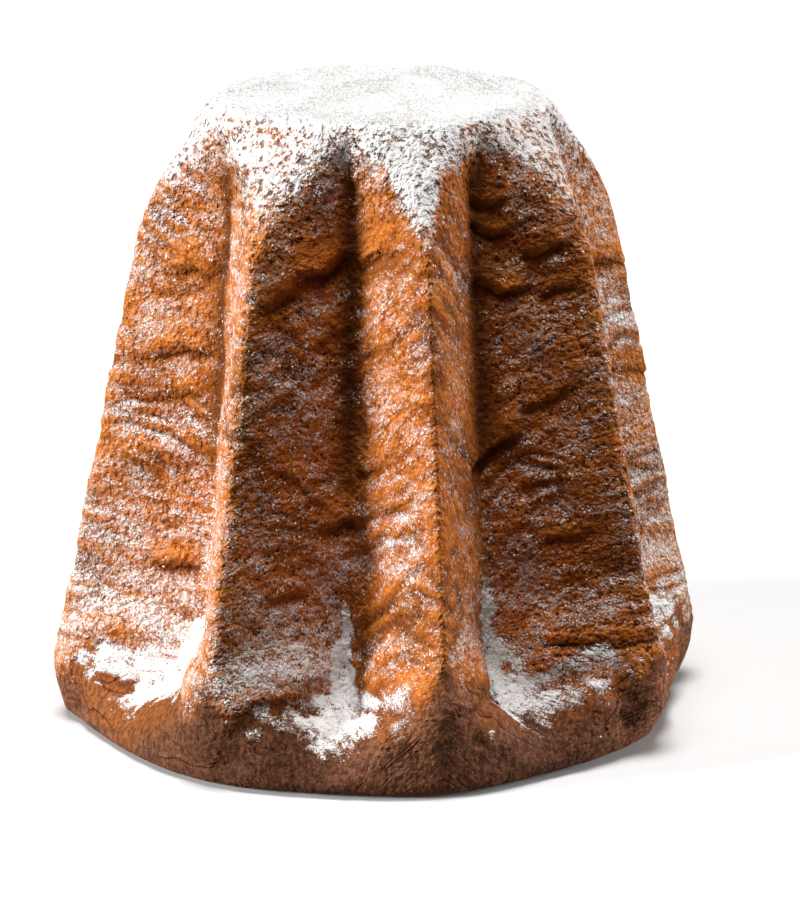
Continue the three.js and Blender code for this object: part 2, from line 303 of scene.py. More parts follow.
def cake_field(place, radius, height):
    """Near the distance to the crust: walls, facets and top joined by maximum, then the foot by minimum."""
    wall, facet, share = wall_and_facet(place, radius, height)
    sides = smooth_max(wall, facet, FACET_BLEND) - broad_relief(place, share, height)
    star = smooth_max(sides, height - HEIGHT, TOP_BLEND)
    joined = smooth_min(star, foot_field(place, radius, height), LEDGE_BLEND)
    return smooth_max(joined, -height, FLOOR_BLEND)


def foot_field(place, radius, height):
    """The puffed foot: a disc under a ledge that falls outwards, with a rim rounded by FOOT_EDGE."""
    plain = np.abs((place + 1) % 2 - 1)
    rim = round_star(FOOT_RADIUS, (place - 1) / 2) + FOOT_CORNER * np.cos(np.pi * plain)
    middle = round_star(FOOT_MIDDLE, (place - 1) / 2)
    rise = round_star(LEDGE_RISE, place / 2) * np.cos(np.pi / 2 * np.minimum(plain, 1)) ** LEDGE_RISE_POWER
    ledge = LEDGE_HEIGHT - LEDGE_FALL * (radius - LEDGE_START) + rise
    beyond = radius - (rim - FOOT_EDGE)
    above = np.maximum(height - ledge, middle - FOOT_EDGE - height) + FOOT_EDGE
    corner = np.hypot(np.maximum(beyond, 0), np.maximum(above, 0))
    return np.minimum(np.maximum(beyond, above), 0) + corner - FOOT_EDGE


print("field in the middle of the cake:", cake_field(np.array(0.0), 1.0, 100.0))

# %% [markdown]
# ## From the field to a grid
# Each grid point is where a ray from the axis leaves the crust. The rays fan out over the top, climb a
# little along the walls so that they meet the ledge too, and fan out again under the foot. All rays
# are halved at once until the crust is found, which takes a few whole-array steps.

# %% Rays that meet the crust
BASE_RING = 86.0
RAY_STEP = [0, 0.35, 0.85, 0.9, 1]
RAY_FROM = [150, 150, 12, 12, 12]
RAY_CLIMB = [90, 8, 8, -2, -np.degrees(np.arctan2(12, BASE_RING))]
RAY_NEAR, RAY_FAR, HALVINGS = 1.0, 180.0, 26


def crust_points(place, step):
    """Radius and height where the ray of each step leaves the crust at each place, by halving."""
    start = np.interp(step, RAY_STEP, RAY_FROM)
    climb = np.radians(np.interp(step, RAY_STEP, RAY_CLIMB))
    near = np.full(np.broadcast(place, step).shape, RAY_NEAR)
    far = np.full(near.shape, RAY_FAR)
    for _ in range(HALVINGS):
        middle = (near + far) / 2
        inside = cake_field(place, middle * np.cos(climb), start + middle * np.sin(climb)) < 0
        near = np.where(inside, middle, near)
        far = np.where(inside, far, middle)
    return near * np.cos(climb), start + near * np.sin(climb)


print("rays are halved", HALVINGS, "times")


# %% Rows set evenly along the crust
COLUMNS_A_PLACE, ROWS = 28, 222
COLUMNS = PLACES * COLUMNS_A_PLACE
FIRST_STEP, FINE_STEPS = 0.02, 900
LEVEL = 0.5
TOP_ROW_SHARE, BASE_ROW_SHARE = 0.7, 0.06
fine_steps = np.linspace(FIRST_STEP, 1, FINE_STEPS)[:, None]
line_radius, line_height = crust_points(np.array([[0.0, 0.5, 1.0]]), fine_steps)
moved = np.hypot(np.diff(line_radius, axis=0), np.diff(line_height, axis=0))
row_share = np.where(line_height[1:] > HEIGHT - LEVEL, TOP_ROW_SHARE, 1.0)
row_share = np.where(line_height[1:] < LEVEL, BASE_ROW_SHARE, row_share)
length = np.concatenate([[0], np.cumsum((row_share * moved).mean(axis=1))])
steps = np.interp(np.linspace(0, length[-1], ROWS), length, fine_steps[:, 0])[:, None]
place = (np.arange(COLUMNS) * PLACES / COLUMNS)[None, :]
radius, height = crust_points(place, steps)
angle = np.interp(place, np.arange(PLACES + 1), angles)
form = np.stack([radius * np.sin(angle), -radius * np.cos(angle), height], axis=-1)
print("grid of", ROWS, "rows and", COLUMNS, "columns")

# %% Normals of a grid
def grid_normals(points):
    """Unit normals: the cross product of the steps down a column and along a row, which closes on itself."""
    along = np.roll(points, -1, axis=1) - np.roll(points, 1, axis=1)
    down = np.gradient(points, axis=0)
    normals = np.cross(down, along)
    return normals / np.maximum(np.linalg.norm(normals, axis=-1, keepdims=True), 1e-9)


form_normals = grid_normals(form)
print("mean height of the normals on the top row:", form_normals[0, :, 2].mean())

# %% [markdown]
# ## Unevenness
# Dough is uneven at every size. Gradient noise gives a smooth random number at each point of space:
# random slopes sit on a lattice, and each point blends the slopes of the eight corners of its cell.
# A seed makes it come out the same each time.

# %% Gradient noise
NOISE_SPREAD = 1.6


def gradient_noise(points, seed):
    """About -1 to 1: the slopes at a cell's corners times the way to them, blended by a quintic."""
    rng = np.random.default_rng(seed)
    order = rng.permutation(256)
    slopes = rng.normal(size=(256, 3))
    slopes /= np.linalg.norm(slopes, axis=1, keepdims=True)
    cell = np.floor(points).astype(int)
    inside = points - cell
    fade = inside**3 * (inside * (inside * 6 - 15) + 10)
    total = np.zeros(points.shape[:-1])
    for corner in np.ndindex(2, 2, 2):
        at = cell + np.array(corner)
        pick = order[(order[(order[at[..., 0] & 255] + at[..., 1]) & 255] + at[..., 2]) & 255]
        weight = np.prod(np.where(np.array(corner) == 1, fade, 1 - fade), axis=-1)
        total += weight * np.sum(slopes[pick] * (inside - np.array(corner)), axis=-1)
    return NOISE_SPREAD * total


def layered_noise(points, seed, layers):
    """Gradient noise at doubling fineness, each layer with half the strength of the one before."""
    return sum(gradient_noise(points * 2.0**k, seed + k) * 0.5**k for k in range(layers))


print("noise at one point:", gradient_noise(np.array([[0.3, 0.6, 0.9]]), 1))

# %% [markdown]
# ## Wrinkles and lumps
# Between the folds the crust is drawn into fine wrinkles that rise towards the ridges, like skin on
# milk. The size of a noise has sharp creases where the noise crosses zero and round rolls between
# them, which is what such skin looks like. Stretching the noise sideways makes the rolls lie across.

# %% Values for each ridge, valley or flank
flank = np.floor(place).astype(int)


def by_ridge(values):
    """One value for each ridge, read at every column of the grid."""
    return round_star(values, place / 2)


def by_valley(values):
    """One value for each valley, read at every column of the grid."""
    return round_star(values, (place - 1) / 2)


def by_flank(values):
    """One value for each flank between a ridge and a valley, without a blend between them."""
    return np.array(values)[flank]


def tell(name, values):
    """Prints the smallest, the largest and the mean of some values."""
    print(name, "from", values.min().round(2), "to", values.max().round(2), "mean", values.mean().round(2))


print("flanks:", flank.max() + 1)

# %% Parts of the crust
TOP_FACING, TOP_FADE = 0.9, 0.08
WALL_FACING, WALL_FADE = 0.55, 0.3
WALL_BOTTOM, WALL_BOTTOM_FADE = 20.0, 14.0
MIDDLE_FLAT, MIDDLE_FADE = 6.0, 24.0
CREST_WIDTH = 0.12
facing = form_normals[..., 2]
share = share_to_valley(place, by_ridge(RIDGE_SOFTNESS))
# The way to the nearest valley: 0 in a valley and 1 on a ridge.
to_valley = 1 - np.abs((place + 1) % 2 - 1)
on_top = smooth_step((facing - TOP_FACING) / TOP_FADE)
on_wall = smooth_step((WALL_FACING - facing) / WALL_FADE)
on_wall *= smooth_step((height - WALL_BOTTOM) / WALL_BOTTOM_FADE)
from_middle = smooth_step((radius - MIDDLE_FLAT) / MIDDLE_FADE)
crest = bell(share, 0, CREST_WIDTH) * on_wall
tell("walls", on_wall)

# %% Wrinkles
RIDGE_LIFT = [27, 18, 12, 16, 24, 14, 6, 5]
WRINKLE_ACROSS, WRINKLE_UP, WRINKLE_SIZE = 26.0, 7.0, 1.0
FLANK_WRINKLES = [0.3, 0.9, 0.7, 1, 1, 0.7, 0.5, 0.9, 0.4, 0.9, 0.7, 1, 0.9, 0.6, 0.3, 0.9]
CALM_LENGTH, CALM_MIDDLE, CALM_SIZE, CALM_SHARE = 38.0, 0.45, 1.4, 0.25
SWAY_LENGTH, SWAY_SIZE = 34.0, 6.0
ROLL_CLIMB, ROLL_MIDDLE = 1.6, 0.55
rise = height - by_ridge(RIDGE_LIFT) * (1 - share) * (1 - on_top)
strength = smooth_step(CALM_MIDDLE + CALM_SIZE * gradient_noise(form / CALM_LENGTH, 11))
sway = layered_noise(form / SWAY_LENGTH, 13, 2)
up = (rise + SWAY_SIZE * sway) / WRINKLE_UP
flow = np.stack([form[..., 0] / WRINKLE_ACROSS, form[..., 1] / WRINKLE_ACROSS, up], axis=-1)
roll = np.abs(layered_noise(flow, 21, 2))
wrinkles = WRINKLE_SIZE * on_wall * mix(CALM_SHARE, 1, strength)
wrinkles = wrinkles * (smooth_step(ROLL_CLIMB * roll) - ROLL_MIDDLE) * by_flank(FLANK_WRINKLES)
tell("wrinkles in mm", wrinkles)

# %% Lumps
LUMP_LENGTH, LUMP_SIZE = 6.0, 0.42
DIMPLE_LENGTH, DIMPLE_SIZE = 15.0, 0.7
CREST_LENGTH, CREST_SIZE, CREST_CALM = 8.0, 0.3, 0.6
lumps = LUMP_SIZE * layered_noise(form / LUMP_LENGTH, 31, 3)
dimples = DIMPLE_SIZE * layered_noise(form / DIMPLE_LENGTH, 37, 2)
lumps = mix(lumps, dimples, on_top) * from_middle
lumps = lumps * (1 - CREST_CALM * crest) + CREST_SIZE * crest * gradient_noise(form / CREST_LENGTH, 35)
tell("lumps in mm", lumps)

# %% [markdown]
# ## Pillows over the ledge
# Each flank ends below in a soft pillow that hangs over the ledge, and the ledge itself has a furrow
# along its middle. The field of the foot tells which points lie on the foot and how far above it the
# others are. Both forms are bumps added along the normals.

# %% Pillows and the furrow of the ledge
PILLOW_SIZE, PILLOW_ABOVE, PILLOW_REACH, PILLOW_POWER = 1.8, 7.0, 6.0, 0.7
FURROW_DEPTH, FURROW_OUT, FURROW_REACH = 2.0, 8.5, 2.6
FURROW_START, FURROW_END, FURROW_FADE = 0.1, 0.85, 0.2
LEDGE_GAP = [0.85, 0.4, 0.3, 0.6, 0.4, 0.4, 0.1, 0.55]
CRUMB_LENGTH, RAGGED_WALL = 5.0, 2.5
FOOT_SEAM, FOOT_TOP, FOOT_TOP_FADE = 5.0, 60.0, 10.0
crumbs = layered_noise(form / CRUMB_LENGTH, 55, 3)
wall, facet, _ = wall_and_facet(place, radius, height)
above_foot = foot_field(place, radius, height)
low_down = smooth_step((FOOT_TOP - height) / FOOT_TOP_FADE)
on_foot = smooth_step(0.5 + (wall - above_foot) / FOOT_SEAM) * low_down
flank_middle = np.sin(np.pi * share) ** PILLOW_POWER
pillows = PILLOW_SIZE * flank_middle * bell(above_foot, PILLOW_ABOVE, PILLOW_REACH) * (1 - on_foot)
out_from_wall = wall / WALL_SLANT + RAGGED_WALL * crumbs
furrow = bell(out_from_wall, FURROW_OUT, FURROW_REACH) * on_foot
furrow *= smooth_step((to_valley - FURROW_START) / FURROW_FADE)
furrow = furrow * smooth_step((FURROW_END - to_valley) / FURROW_FADE) * by_valley(LEDGE_GAP)
tell("pillows in mm", pillows)

# %% The crust's own surface
BASE_FADE = 3.0
flat_base = smooth_step(height / BASE_FADE)
relief = (wrinkles + lumps + pillows - FURROW_DEPTH * furrow) * flat_base
crust = form + form_normals * relief[..., None]
crust[..., 2] = np.maximum(crust[..., 2], 0)
crust_normals = grid_normals(crust)
tell("relief in mm", relief)

# %% [markdown]
# ## Where the sugar lies
# Icing sugar is sifted from above. It covers the top and most of the facets, and thins out below the
# rim. On the flanks it catches on the upper sides of wrinkles and leaves the lips of folds bare. The
# amount is worked out from how much each point faces up, and kept with the mesh.

# %% Sugar on the top and the facets
PATCH_LENGTH, FACET_EDGE = 16.0, 3.5
UP_FACING, UP_FADE = 0.7, 0.2
COVER_BOTTOM, COVER_FADE = 150.0, 20.0
RIM_BOTTOM, RIM_FADE, RIM_RAGGED = 200.0, 14.0, 6.0
FACET_SUGAR, TOP_EXTRA, TOP_PATCHES = 0.65, 0.26, 0.06
FACET_THIN, THIN_START, THIN_FADE = 0.3, 202.0, 20.0
FACET_DUST = [0.06, -0.08, 0, 0, 0, 0, 0, -0.06]
patches = layered_noise(form / PATCH_LENGTH, 51, 3)
facing_up = smooth_step((facing - UP_FACING) / UP_FADE)
cover = smooth_step(0.5 + (facet - wall + FACET_EDGE * (0.5 + patches)) / FACET_EDGE)
cover = np.maximum(cover, facing_up) * smooth_step((height - COVER_BOTTOM) / COVER_FADE)
rim_cover = smooth_step((height - RIM_BOTTOM + RIM_RAGGED * patches) / RIM_FADE)
top_sugar = FACET_SUGAR + TOP_EXTRA * facing_up + TOP_PATCHES * patches * from_middle
top_sugar -= FACET_THIN * smooth_step((THIN_START - height) / THIN_FADE)
top_sugar += by_ridge(FACET_DUST) * (1 - on_top)
tell("cover from the sieve", cover)

# %% How near each point is to a fold
FULL_FOLD, NEAR_FOLD, FAR_LINE, LINE_FADE = 2.5, 0.7, 12.0, 6.0
LIP_AT, LIP_REACH = 0.35, 0.6
HOLLOW_AT, HOLLOW_REACH = -0.2, 0.3
lips, hollows = np.zeros_like(height), np.zeros_like(height)
fold_line, fold_weight = np.full(height.shape, FAR_LINE), np.zeros_like(height)
fold_lines = [fold_parts(fold, place, height) + (fold[-1],) for fold in all_folds]
crack_line = crack_parts(place, share, height) + (CRACK_REACH,)
for across, depth, reach in fold_lines + [crack_line]:
    there = clamp01(depth / FULL_FOLD)
    nearer = there * bell(across, 0, NEAR_FOLD) > fold_weight * bell(fold_line / CRACK_REACH, 0, NEAR_FOLD)
    fold_line = np.where(nearer, np.clip(across * reach, -FAR_LINE, FAR_LINE), fold_line)
    fold_weight = np.where(nearer, there, fold_weight)
fold_weight = fold_weight * smooth_step((FAR_LINE - np.abs(fold_line)) / LINE_FADE)
for across, depth, _ in fold_lines:
    there = clamp01(depth / FULL_FOLD)
    lips = np.maximum(lips, there * bell(across, LIP_AT, LIP_REACH))
    hollows = np.maximum(hollows, there * bell(across, HOLLOW_AT, HOLLOW_REACH))
tell("lips", lips)

# %% Sugar on the flanks
FLANK_SUGAR, CATCH_SUGAR, CATCH_MOST, PATCH_SUGAR = 0.33, 0.7, 0.3, 0.12
FLANK_DUST = [-0.08, -0.03, 0.06, 0.11, 0.04, 0, 0.02, -0.03, 0, 0.04, -0.03, 0.02, 0.09, 0.05, 0, 0.01]
LOW_DUST = [0.06, 0.0, 0.08, 0.14, 0.08, 0.06, 0.08, 0.1, 0.04, 0.06, 0.1, 0.06, 0.11, 0.06, 0.2, -0.13]
LOW_TOP, LOW_FADE = 90.0, 60.0
BARE_WIDTH, BARE_BOTTOM, BARE_FADE = 0.2, 85.0, 25.0
LIP_BARE, HOLLOW_BARE, CREST_BARE, VALLEY_BARE = 0.24, 0.2, 0.04, 0.22
RIM_SUGAR, RIM_PATCHES = 0.56, 0.1
catch = np.clip(crust_normals[..., 2] - facing, -CATCH_MOST, CATCH_MOST)
lower = smooth_step((LOW_TOP - height) / LOW_FADE)
upper_valley = bell(to_valley, 0, BARE_WIDTH) * smooth_step((height - BARE_BOTTOM) / BARE_FADE)
flank_sugar = FLANK_SUGAR + by_flank(FLANK_DUST) + by_flank(LOW_DUST) * lower
flank_sugar = flank_sugar + CATCH_SUGAR * catch + PATCH_SUGAR * patches
flank_sugar = flank_sugar - LIP_BARE * lips - HOLLOW_BARE * hollows - CREST_BARE * crest
flank_sugar -= VALLEY_BARE * upper_valley
sugar = mix(mix(flank_sugar, RIM_SUGAR + RIM_PATCHES * patches, rim_cover), top_sugar, cover)
tell("sifted sugar", sugar)

# %% [markdown]
# ## Browning
# The foot rose over the rim of the tin into the hot air of the oven, so it is browned more than the
# walls, which the tin covered. The brown reaches higher at the ridges than in the valleys, and its edge
# is ragged, so two noises are added to the height where it ends.

# %% Browning of the foot
BAKE_AT_RIDGE = [47, 40, 34, 34, 32, 34, 26, 34]
BAKE_AT_VALLEY = [25, 11, 10, 11, 11, 9, 6, 20]
BAKE_LIFT, BAKE_PATCHES, BAKE_CRUMBS, BAKE_FADE = 6.0, 9.0, 3.0, 17.0
bake_ridge = by_ridge(BAKE_AT_RIDGE)
bake_valley = by_valley(BAKE_AT_VALLEY)
bake_line = mix(bake_valley, bake_ridge, to_valley**2)
ragged_line = bake_line + BAKE_LIFT + BAKE_PATCHES * patches + BAKE_CRUMBS * crumbs
bake = smooth_step((ragged_line - height) / BAKE_FADE)
foot_share = np.maximum(on_foot, bake)
tell("browning", bake)

# %% [markdown]
# ## Streaks and drifts
# Sugar slides down the valleys in narrow streaks. Where a valley meets the foot it stops and spreads
# over the ledge in a drift, which is widest next to the wall and crumbles away at its ends. The browned
# foot itself is steep and keeps almost none.

# %% Streaks in the valleys
STREAK_TOP, STREAK_GROWTH, STREAK_WIDTH, STREAK_MORE = 76.0, 26.0, 0.025, 0.045
CONE_TOP, CONE_GROWTH, CONE_WIDTH = 46.0, 16.0, 0.14
STREAK_EDGE, STREAK_PATCHES, STREAK_CRUMBS = 1.6, 0.9, 0.6
STREAK_RAGGED, STREAK_FADE = 22.0, 34.0
streak_width = STREAK_WIDTH + STREAK_MORE * smooth_step((STREAK_TOP - height) / STREAK_GROWTH)
streak_width += CONE_WIDTH * smooth_step((CONE_TOP - height) / CONE_GROWTH)
streak_width *= 1 + STREAK_PATCHES * patches + STREAK_CRUMBS * crumbs
streak = smooth_step(STREAK_EDGE - to_valley / streak_width)
streak *= smooth_step((STREAK_TOP + STREAK_RAGGED * patches - height) / STREAK_FADE)
tell("streaks", streak)

# %% Drifts on the ledge
DRIFT_OUT = [27, 26, 26, 28, 26, 28, 21, 28]
DRIFT_WIDTH = [0.42, 0.95, 0.8, 0.9, 0.85, 0.8, 0.9, 0.8, 0.75, 0.85, 0.8, 0.9, 1.0, 0.55, 0.6, 0.95]
NEAR_FOOT, NEAR_FOOT_FADE = 5.0, 4.0
OUT_AT_RIDGE, OUT_NARROWS = 0.6, 0.55
OUT_LIFT, OUT_PATCHES, OUT_CRUMBS, OUT_FADE = 4.0, 4.0, 7.0, 12.0
STEEP, STEEP_CRUMBS, STEEP_FADE = 0.05, 0.15, 0.35
END_LIFT, END_PATCHES, END_CRUMBS, END_FADE = 0.06, 0.2, 0.2, 0.45
near_foot = smooth_step((NEAR_FOOT - above_foot) / NEAR_FOOT_FADE) * low_down
reach_out = by_valley(DRIFT_OUT) * mix(1, OUT_AT_RIDGE, smooth_step(to_valley / OUT_NARROWS))
ragged_out = reach_out + OUT_LIFT + OUT_PATCHES * patches + OUT_CRUMBS * crumbs
drift = near_foot * smooth_step((ragged_out - out_from_wall) / OUT_FADE)
drift *= smooth_step((facing - STEEP + STEEP_CRUMBS * crumbs) / STEEP_FADE)
drift_end = by_flank(DRIFT_WIDTH) + END_LIFT + END_PATCHES * patches + END_CRUMBS * crumbs
drift *= smooth_step((drift_end - to_valley) / END_FADE)
drift *= 1 - furrow
tell("drifts", drift)

# %% All the sugar together
DRIFT_BOTTOM = [13, 10, 10, 10, 10, 10, 10, 11]
BOTTOM_PATCHES, BOTTOM_CRUMBS, BOTTOM_FADE = 3.0, 4.0, 7.0
FOOT_SUGAR, FOOT_PATCHES = 0.06, 0.06
STREAK_SHARE, HEAP_SUGAR, HEAP_CRUMBS = 0.95, 0.89, 0.35
above_bottom = height - by_valley(DRIFT_BOTTOM) - BOTTOM_PATCHES * patches - BOTTOM_CRUMBS * crumbs
heap = smooth_step(above_bottom / BOTTOM_FADE) * np.maximum(STREAK_SHARE * streak, drift)
sugar = mix(sugar, FOOT_SUGAR + FOOT_PATCHES * patches, foot_share)
sugar = clamp01(np.maximum(sugar, heap * (HEAP_SUGAR + HEAP_CRUMBS * crumbs)))
tell("all sugar", sugar)

# %% [markdown]
# ## Tone, painted light and pores
# Each flank and each part of the foot has its own tone: partly uneven browning, partly painted light and
# painted shade, lighter where the light strikes a part and darker where it lies in shade. Lips are painted
# lighter, as light they catch, and pits are painted darker on the flanks in shade. Creases, hollows of folds
# and upper valleys get painted shade. Below the rim the crust is open, with pores between the sugar. These
# numbers are kept at the points of the mesh, and the material reads them there.

# %% Tone with painted light and shade, pores, and painted shade in creases
# Pits are painted darker on the flanks that lie in shade, as painted shade in them; these flanks also hold
# more loose grains.
FLANK_PIT_SHADE = [0.5, 1.2, 0.6, 0.5, 0.5, 0.9, 0.6, 0.7, 0.5, 0.9, 0.6, 0.6, 0.35, 0.35, 1.2, 0.35]
# Tones of the foot and the flanks: partly uneven browning, partly painted light and painted shade by how the
# light falls on each part. Lips are painted lighter, as light they catch.
FOOT_TONE_AND_LIGHT = [0.25, -0.48, 0.6, 0.15, 0.1, 0, 0, 0, 0, 0, 0, 0, -0.1, -0.16, -0.42, -0.58]
FLANK_TONE_AND_LIGHT = [-0.03, 0.02, 0, 0.35, 0.1, 0, -0.1, 0.1, 0, -0.1, 0.1, 0, 0.25, 0.3, 0.25, 0]
LIP_PAINTED_LIGHT, CREASE_CLIMB = 0.2, 2.4
PORE_BOTTOM, PORE_FADE, WALL_PORES, TOP_CALM = 165.0, 30.0, 0.5, 0.7
SMOOTH_AT, SMOOTH_REACH, SMOOTH_SHARE = 0.5, 0.3, 0.6
porous = np.maximum(cover, WALL_PORES * smooth_step((height - PORE_BOTTOM) / PORE_FADE) * (1 - lips))
porous = clamp01(np.maximum(porous, rim_cover)) * (1 - TOP_CALM * on_top)
# Painted shade: the upper valleys, the creases of the wrinkles and the hollows under the folds are darkened
# where shade falls.
valley_painted_shade = upper_valley * (1 - cover) * (1 - rim_cover)
painted_crease_shade = np.maximum(clamp01(1 - CREASE_CLIMB * roll) * on_wall * strength, np.maximum(hollows, valley_painted_shade))
smooth_skin = clamp01(lips + SMOOTH_SHARE * bell(place, SMOOTH_AT, SMOOTH_REACH))
foot_tone_and_light = np.interp(place, np.arange(PLACES + 1), FOOT_TONE_AND_LIGHT + FOOT_TONE_AND_LIGHT[:1])
tone_and_painted_light = mix(by_flank(FLANK_TONE_AND_LIGHT) + LIP_PAINTED_LIGHT * lips, foot_tone_and_light, foot_share)
pits_and_shade = np.broadcast_to(by_flank(FLANK_PIT_SHADE), height.shape)
tell("tone_and_painted_light", tone_and_painted_light)

# %% [markdown]
# ## Thickness of the sugar
# Thick sugar is raised a little over the crust. On the flat top its colour gets painted shade in grey
# patches, and the heaps on the ledge get painted light, which makes them the whitest.

# %% Painted shade and light on the sugar, and the raised surface
SHADE_PATCH_LENGTH, SHADE_PATCH_SIZE = 24.0, 0.9
HEAP_PAINTED_LIGHT, HEAP_START, HEAP_FADE = 0.5, 0.4, 0.4
SUGAR_DEPTH, SUGAR_START, SUGAR_FADE, DEPTH_PATCHES = 0.45, 0.6, 0.35, 0.5
# Painted shade in grey patches on the top, and painted light on the heaps of the ledge.
painted_sugar_shading = on_top * clamp01(0.5 + SHADE_PATCH_SIZE * layered_noise(form / SHADE_PATCH_LENGTH, 58, 2))
painted_sugar_shading -= HEAP_PAINTED_LIGHT * smooth_step((heap - HEAP_START) / HEAP_FADE)
sugar_depth = SUGAR_DEPTH * smooth_step((sugar - SUGAR_START) / SUGAR_FADE)
sugar_depth = sugar_depth * (1 + DEPTH_PATCHES * patches * from_middle) * flat_base
surface = crust + crust_normals * sugar_depth[..., None]
surface[..., 2] = np.clip(surface[..., 2], 0, None)
tell("sugar depth in mm", sugar_depth)

# %% [markdown]
# ## The mesh
# The grid closes on itself round the cake, and a fan of triangles closes it at the top and at the base.
# The numbers worked out above go with it, one at each point.

# %% A mesh from a grid
def add_piece(name, points, faces):
    """A mesh object at the origin from points in millimetres and faces as rows of point numbers."""
    mesh = bpy.data.meshes.new(name)
    mesh.from_pydata((points * MM).tolist(), [], faces)
    mesh.shade_smooth()
    piece = bpy.data.objects.new(name, mesh)
    bpy.context.scene.collection.objects.link(piece)
    return piece


def add_value(piece, name, values):
    """A number at each point of the mesh, which materials can read by its name."""
    layer = piece.data.attributes.new(name, "FLOAT", "POINT")
    layer.data.foreach_set("value", np.asarray(values, np.float32).ravel())


number = np.arange(ROWS * COLUMNS).reshape(ROWS, COLUMNS)
beside = np.roll(number, -1, axis=1)
quads = np.stack([number[:-1], number[1:], beside[1:], beside[:-1]], axis=-1).reshape(-1, 4)
top_point, base_point = ROWS * COLUMNS, ROWS * COLUMNS + 1
top_fan = np.stack([np.full(COLUMNS, top_point), number[0], beside[0]], axis=-1)
base_fan = np.stack([np.full(COLUMNS, base_point), beside[-1], number[-1]], axis=-1)
poles = np.array([[0, 0, surface[0, :, 2].mean()], [0, 0, 0]])
cake = add_piece(
    "crust_and_sugar",
    np.concatenate([surface.reshape(-1, 3), poles]),
    quads.tolist() + top_fan.tolist() + base_fan.tolist(),
)
for name, values, at_poles in [
    ("sugar", sugar, (1, 0)),
    ("bake", bake, (0, 1)),
    ("fibre", on_foot, (0, 1)),
    ("fold_line", fold_line, (FAR_LINE, FAR_LINE)),
    ("fold_weight", fold_weight, (0, 0)),
    ("painted_crease_shade", painted_crease_shade, (0, 0)),
    ("porous", porous, (1, 0)),
    ("smooth_skin", smooth_skin, (0, 0)),
    ("tone_and_painted_light", tone_and_painted_light, (0, 0)),
    ("pits_and_shade", pits_and_shade, (0, 0)),
    ("painted_sugar_shading", painted_sugar_shading, (0.5, 0)),
    ("rise", rise * MM, (HEIGHT * MM, 0)),
]:
    add_value(cake, name, np.concatenate([values.ravel(), at_poles]))
print("triangles in the cake:", 2 * len(quads) + 2 * COLUMNS)

# %% [markdown]
# ## Grains of sugar
# Close to, the sugar isn't a coat of paint: it lies in small clumps, specks and flat flecks. Each is an
# eight-sided lump, up to a millimetre and a half across, set on the crust at a random point that is
# more likely where there is more sugar. All lumps of one kind are one mesh, made in a few array steps.

# %% Random points and lumps
VARIES = (0.7, 1.3)


def scatter(count, density, seed):
    """Random points, their normals and the generator. A cell's chance is its area times its density."""
    rng = np.random.default_rng(seed)
    side = np.linalg.norm(np.roll(surface, -1, axis=1) - surface, axis=-1)[:-1]
    down = np.linalg.norm(np.diff(surface, axis=0), axis=-1)
    chance = np.cumsum((side * down * density[:-1]).ravel())
    cell = np.searchsorted(chance, rng.random(count) * chance[-1])
    row, column = np.divmod(cell, COLUMNS)
    u, v = rng.random((2, count, 1))
    following = (column + 1) % COLUMNS

    def between(values):
        """Values of the grid at the random points, blended from the corners of their cells."""
        upper = mix(values[row, column], values[row, following], u)
        return mix(upper, mix(values[row + 1, column], values[row + 1, following], u), v)

    return between(surface), between(grid_normals(surface)), rng


def add_lumps(name, count, density, size, flatness, seed):
    """Eight-sided lumps: six corners along each lump's own axes, stretched and turned at random."""
    centre, normal, rng = scatter(count, density, seed)
    normal /= np.linalg.norm(normal, axis=1, keepdims=True)
    side = np.cross(normal, rng.normal(size=(count, 3)))
    side /= np.linalg.norm(side, axis=1, keepdims=True)
    other = np.cross(normal, side)
    spread = size[0] + (size[1] - size[0]) * rng.random((count, 1)) ** 2
    a = side * spread * rng.uniform(*VARIES, (count, 1))
    b = other * spread * rng.uniform(*VARIES, (count, 1))
    c = normal * spread * flatness * rng.uniform(*VARIES, (count, 1))
    corners = np.stack([a, b, -a, -b, c, -c], axis=1) + centre[:, None]
    one = np.array([(0, 1, 4), (1, 2, 4), (2, 3, 4), (3, 0, 4), (1, 0, 5), (2, 1, 5), (3, 2, 5), (0, 3, 5)])
    faces = (one[None] + 6 * np.arange(count)[:, None, None]).reshape(-1, 3)
    corners[..., 2] = np.clip(corners[..., 2], 0, None)
    return add_piece(name, corners.reshape(-1, 3), faces.tolist())


print("lumps vary in size by", VARIES)

# %% Clumps, specks and flecks
CLUMPS, SPECKS, FLECKS = 12000, 24000, 20000
THICK_START, THICK_FADE = 0.7, 0.2
LOOSE_START, LOOSE_FADE, LOOSE_LEAST, PITTED_LEAST = 0.15, 0.4, 0.25, 0.4
CLUSTER_LENGTH, CLUSTER_MIDDLE, CLUSTER_SIZE, CLUSTER_CATCH = 4.0, 0.2, 0.9, 2.5
thick = smooth_step((sugar - THICK_START) / THICK_FADE)
cluster_noise = layered_noise(form / CLUSTER_LENGTH, 57, 3)
clusters = smooth_step(CLUSTER_MIDDLE + CLUSTER_SIZE * cluster_noise + CLUSTER_CATCH * catch)
loose_chance = smooth_step((sugar - LOOSE_START) / LOOSE_FADE) * (1 - thick)
loose_chance = loose_chance * (LOOSE_LEAST + clusters) * (PITTED_LEAST + pits_and_shade)
clumps = add_lumps("sugar_clumps", CLUMPS, thick, (0.2, 0.5), 0.6, 61)
specks = add_lumps("sugar_specks", SPECKS, loose_chance, (0.12, 0.32), 0.7, 62)
flecks = add_lumps("sugar_flecks", FLECKS, loose_chance * clusters, (0.22, 0.6), 0.45, 63)
print("faces of clumps, specks and flecks:", [len(piece.data.polygons) for piece in (clumps, specks, flecks)])

# %% [markdown]
# ## Node helpers
# A material is a graph of nodes. These helpers add a node, set its inputs by name, and join a socket
# where a socket is given instead of a number, so that each material below reads as a recipe.

